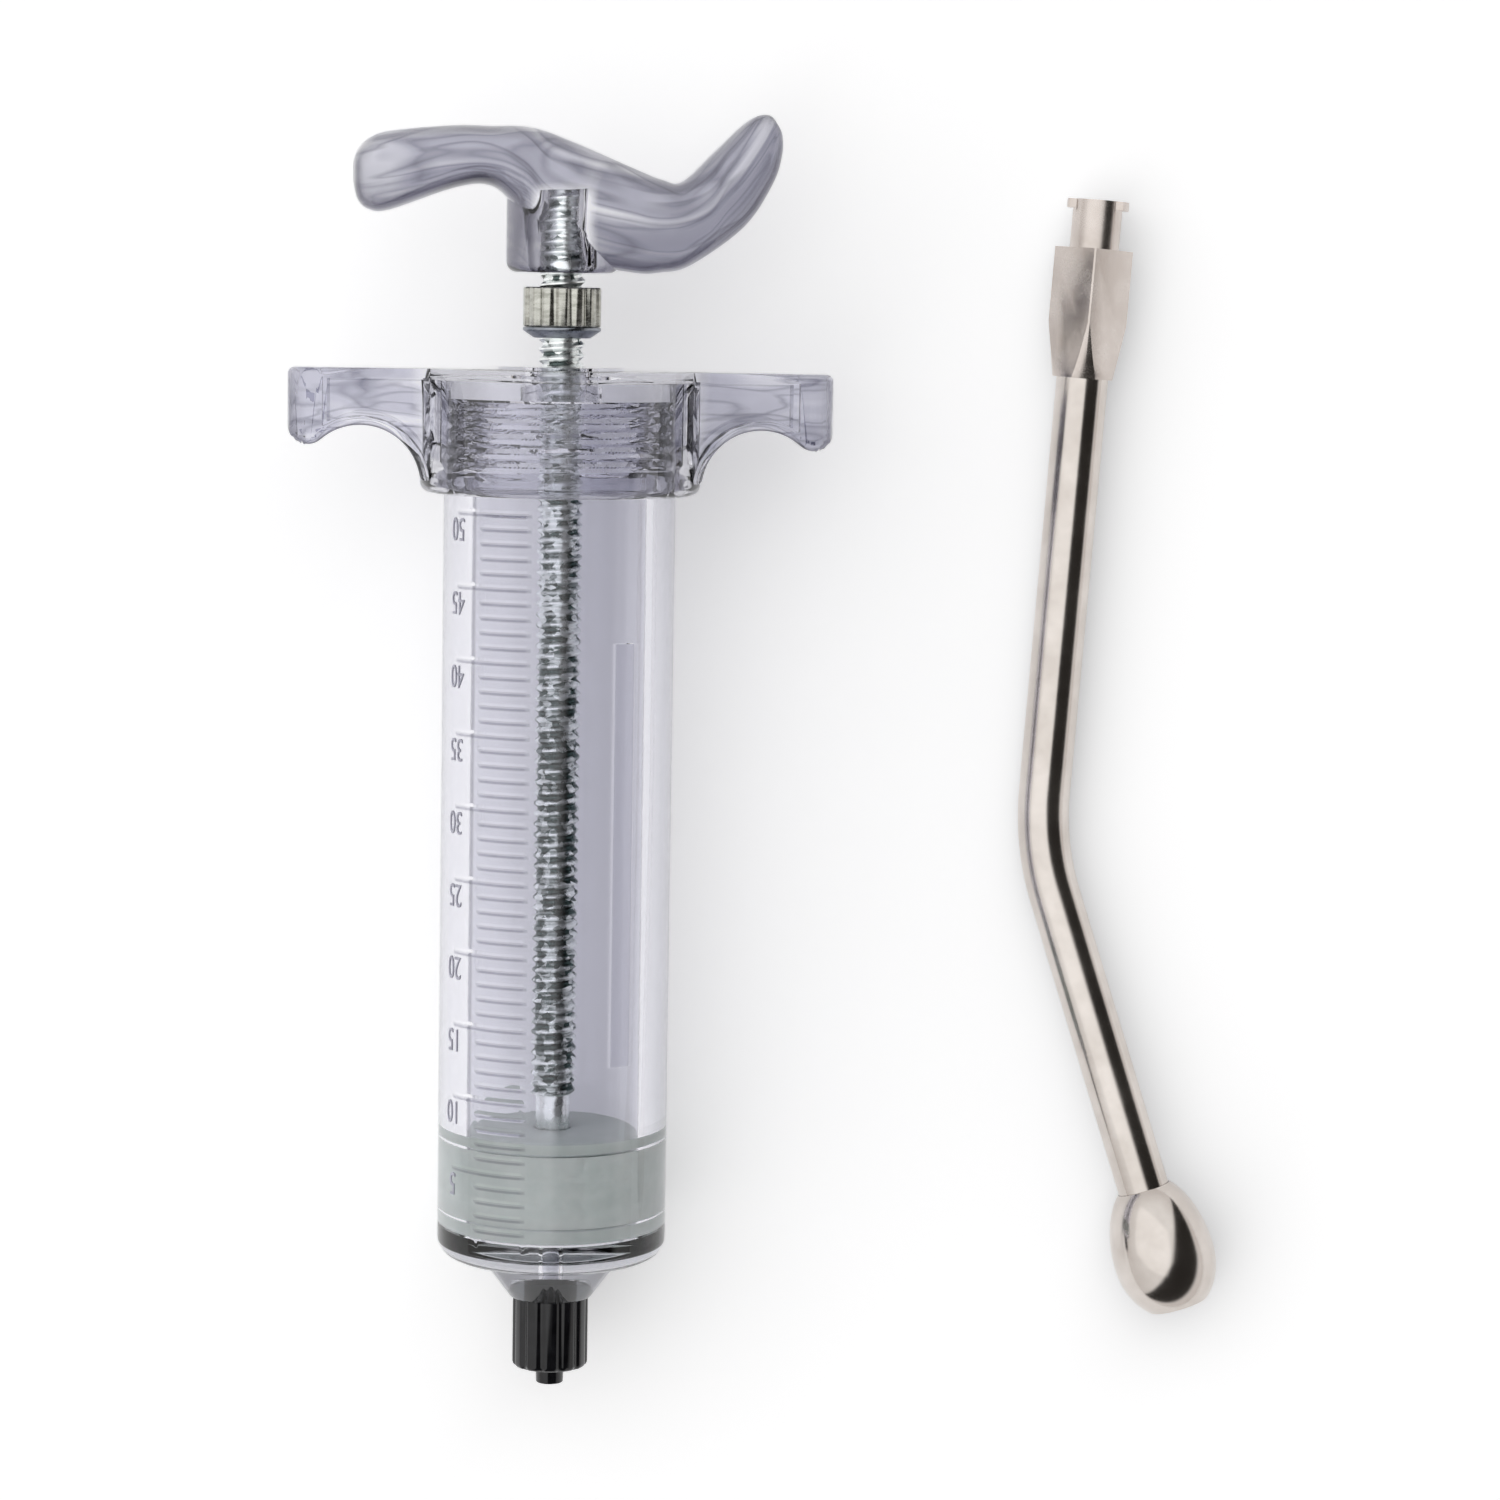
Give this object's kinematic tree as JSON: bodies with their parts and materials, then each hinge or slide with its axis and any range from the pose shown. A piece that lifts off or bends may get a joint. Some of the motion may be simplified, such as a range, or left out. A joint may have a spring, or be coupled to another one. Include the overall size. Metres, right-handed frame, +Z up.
{
  "type": "livestock drencher",
  "caption": "Screw-rod drench syringe with a clear graduated barrel, winged cap, dose nut and S handle, lying beside its bent ball-ended drench cannula.",
  "frame": {"origin": "middle of the set on the table it lies on", "axes": "+Y from the nozzle towards the handle, nearly along the syringe's axis; +Z up from the table; the cannula lies at +X"},
  "size_m": [0.136, 0.1828, 0.0406],
  "materials": {
    "clear_plastic": "clear, polished",
    "black_plastic": "glossy black",
    "white_plastic": "translucent white",
    "milky_silicone": "milky translucent",
    "seal_rubber": "matt",
    "zinc_steel": "bright zinc plate",
    "spring_steel": "oiled",
    "nickel_steel": "turned, nickel plate",
    "polished_nickel": "polished nickel plate"
  },
  "bodies": {
    "barrel": {"barrel": "clear_plastic", "finger_grip": "clear_plastic", "nozzle_seal": "seal_rubber", "luer_nozzle": "black_plastic", "luer_collar": "black_plastic"},
    "piston": {"piston_core": "white_plastic", "piston_seal": "milky_silicone", "piston_cap": "white_plastic"},
    "plunger": {"plunger_rod": "zinc_steel", "rod_clip": "spring_steel", "handle": "clear_plastic"},
    "stop_washer": {"stop_washer": "nickel_steel"},
    "dose_nut": {"dose_nut": "nickel_steel"},
    "cannula": {"cannula_hub": "polished_nickel", "cannula_tube": "polished_nickel", "cannula_olive": "polished_nickel"}
  },
  "joints": [
    {"name": "plunger_slide", "type": "slide", "parent": "barrel", "child": "piston", "axis": [0, 0.9995, 0.0322], "range_m": [0, 0.1035]},
    {"name": "handle_spin", "type": "hinge", "parent": "piston", "child": "plunger", "pos_m": [-0.02949, 0.08016, 0.02132], "axis": [0, 0.9995, 0.0322], "continuous": true},
    {"name": "nut_travel", "type": "slide", "parent": "plunger", "child": "stop_washer", "axis": [0, 0.9995, 0.0322], "range_m": [-0.0038, 0.0015]},
    {"name": "nut_turn", "type": "hinge", "parent": "stop_washer", "child": "dose_nut", "pos_m": [-0.02949, 0.06107, 0.0207], "axis": [0, 0.9995, 0.0322], "range_deg": [-915, 362]},
    {"name": "cannula_lift", "type": "slide", "parent": "barrel", "child": "cannula", "axis": [0, 0, 1], "range_m": [0, 0.1]}
  ],
  "couplings": [
    {"joint": "nut_turn", "follows": "nut_travel", "rad_per_m": 4188.8}
  ]
}
